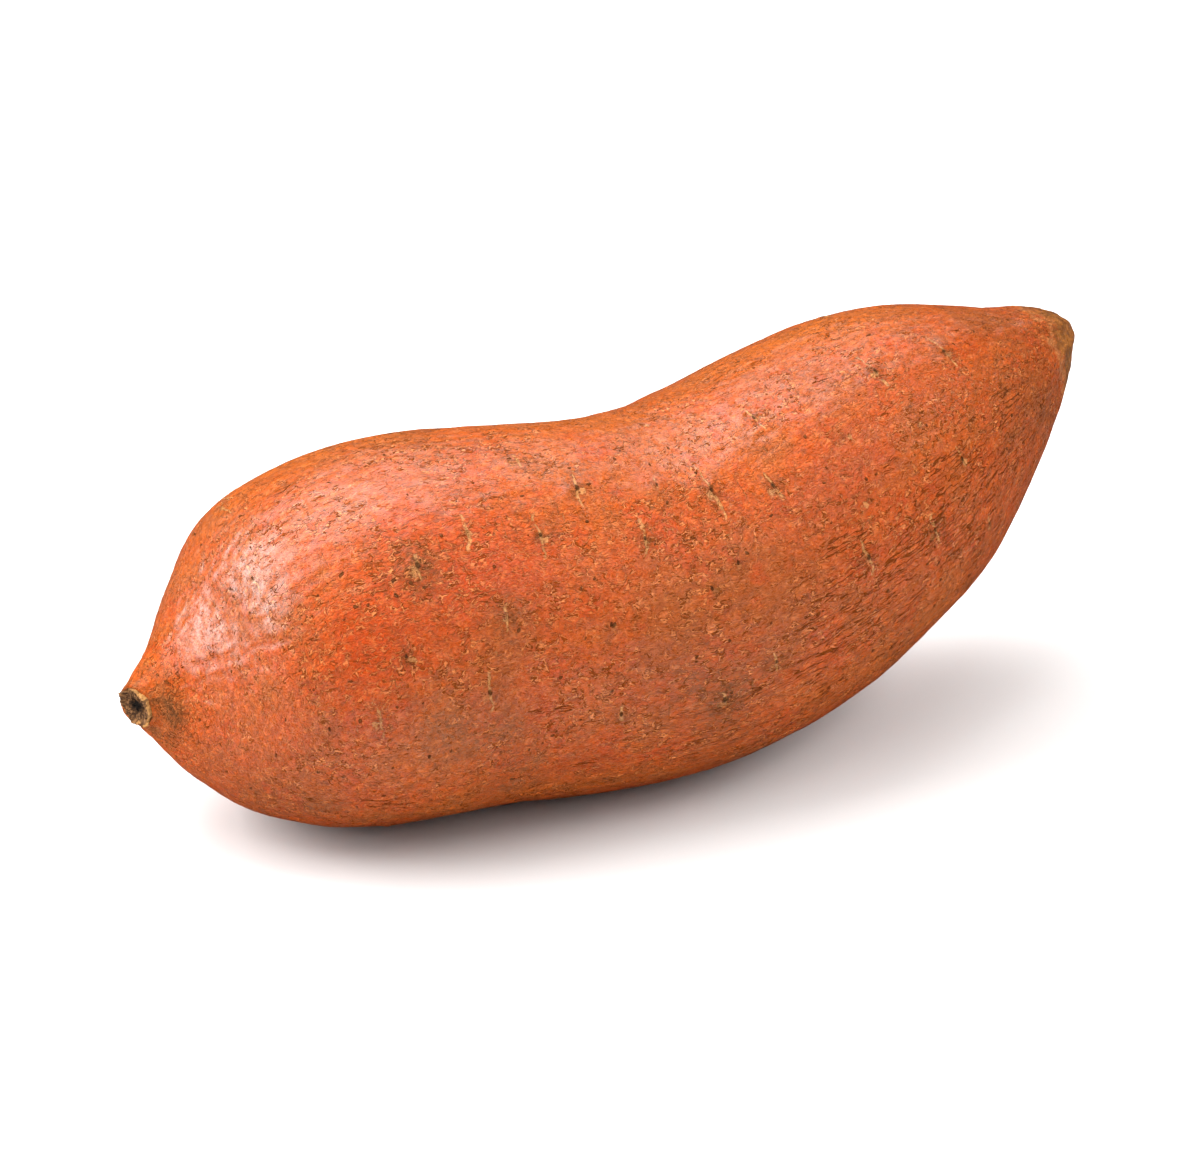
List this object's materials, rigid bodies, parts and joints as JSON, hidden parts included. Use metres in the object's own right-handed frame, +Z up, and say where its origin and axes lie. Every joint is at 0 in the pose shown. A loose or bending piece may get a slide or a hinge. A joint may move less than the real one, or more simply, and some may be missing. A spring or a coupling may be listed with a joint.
{
  "type": "sweet potato",
  "caption": "Whole raw sweet potato: a fat, gently bent storage root with a cut stem end, a slight waist and a raised blunt tail, lying on a small flat spot of its belly.",
  "frame": {"origin": "on the surface that the root lies on, under the middle of its box", "axes": "+X along the root from the cut stem end to the tail, +Z up, +Y towards the hollow side of the gentle sideways bend"},
  "size_m": [0.1716, 0.066, 0.0648],
  "materials": {
    "skin": "dry terracotta-orange root skin with a soft waxy sheen, finely wrinkled, pitted and scarred"
  },
  "bodies": {
    "root": {"sweet_potato": "skin"}
  },
  "joints": []
}
